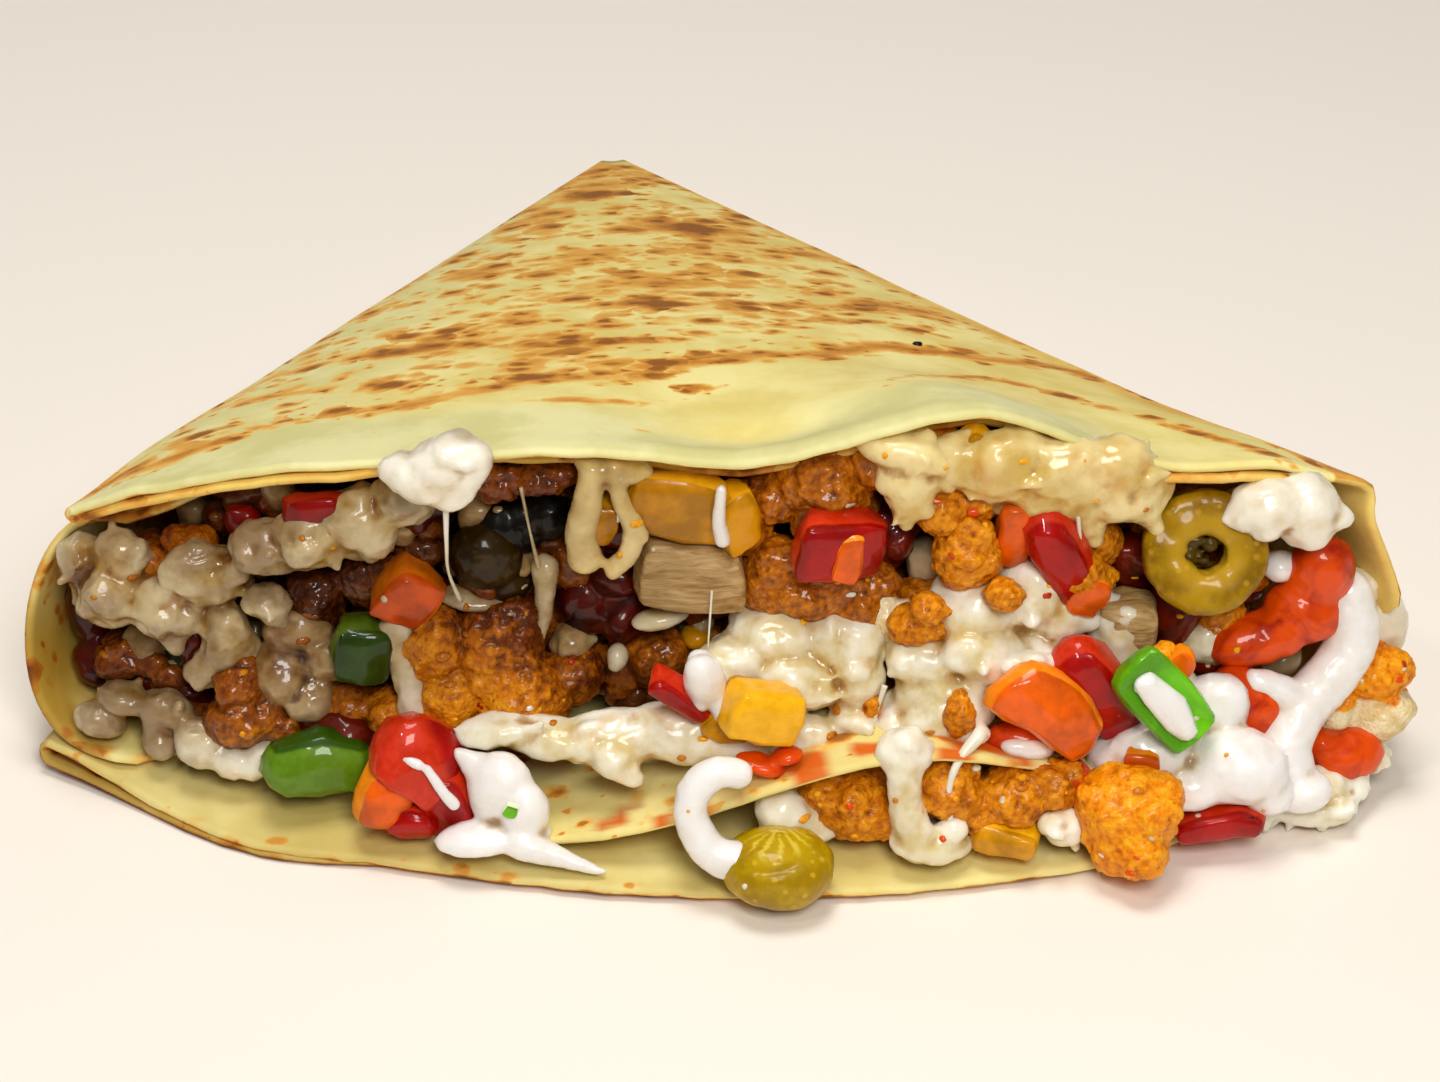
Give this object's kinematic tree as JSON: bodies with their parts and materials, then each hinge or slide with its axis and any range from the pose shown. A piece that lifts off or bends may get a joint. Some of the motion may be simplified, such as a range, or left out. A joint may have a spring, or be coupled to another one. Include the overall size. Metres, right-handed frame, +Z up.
{
  "type": "savory crepe",
  "caption": "Thin browned crepe folded into a fan around chicken, melted cheese, peppers, olives, tomato and cream that spill from its open mouth",
  "frame": {"origin": "middle of the bounding box of the whole, on the plane that the underside rests on", "axes": "+Z is up; the open mouth faces -Y and the folded tip points to +Y; +X is to the right of one who looks into the mouth"},
  "size_m": [0.2128, 0.226, 0.0706],
  "materials": {
    "crepe": "thin griddled batter, pale yellow with brown spots",
    "filling": "moist chopped filling in the shade of the folds",
    "chicken": "fried golden crumb coat, slightly oily",
    "chicken_breast": "pale cooked meat with fine fibres",
    "cheese": "melted, wet and slightly see-through",
    "cream": "smooth white cream",
    "green_olive": "oily olive flesh",
    "black_olive": "oily dark olive skin",
    "red_pepper": "wet glossy skin",
    "orange_pepper": "wet glossy skin",
    "yellow_pepper": "wet glossy flesh",
    "green_pepper": "wet glossy skin",
    "tomato": "wet glossy tomato flesh and skin"
  },
  "bodies": {
    "root": {"crepe": "crepe", "olive_front": "green_olive", "cream_squiggle": "cream", "cheese_leg": "cheese", "cream_bottom_left": "cream", "chicken_gold_low": "chicken", "pepper_yellow_low": "yellow_pepper", "cheese_low_bit": "cheese", "chicken_low_left": "chicken", "chicken_low_right": "chicken", "cheese_low_middle": "cheese", "mayonnaise_swirl": "cream", "olive_ring": "green_olive", "cream_top_right": "cream", "pepper_green_ring": "green_pepper", "pepper_orange_right": "orange_pepper", "pepper_red_right": "red_pepper", "tomato_right": "tomato", "tomato_low_right": "tomato", "chicken_right": "chicken", "cream_right": "cream", "pepper_red_low": "red_pepper", "cream_top_left": "cream", "pepper_yellow_dice": "yellow_pepper", "pepper_pink": "red_pepper", "cheese_drip_big": "cheese", "pepper_red_dice": "red_pepper", "cheese_drips_middle": "cheese", "cheese_sheet": "cheese", "cheese_centre": "cheese", "cheese_right": "cheese", "pepper_red_big": "red_pepper", "pepper_green_strip": "green_pepper", "chicken_centre": "chicken", "chicken_centre_top": "chicken", "chicken_big": "chicken", "cheese_band": "cheese", "pepper_green_dice": "green_pepper", "pepper_orange_left": "orange_pepper", "pepper_yellow_big": "yellow_pepper", "breast_slice": "chicken_breast", "cheese_top_right": "cheese", "chicken_gold_upper": "chicken", "pepper_red_top": "red_pepper", "chicken_gold_right": "chicken", "chicken_small": "chicken", "chicken_bit_right": "chicken_breast", "cheese_left": "cheese", "chicken_left_low": "chicken", "cheese_low_left": "cheese", "cheese_drip_left": "cheese", "chicken_left_brown": "chicken", "meat_dark": "chicken", "olive_black": "black_olive", "olive_dark_green": "green_olive", "tomato_dark": "tomato", "chicken_top_left": "chicken", "filling_upper": "filling", "filling_lower": "filling"}
  },
  "joints": []
}
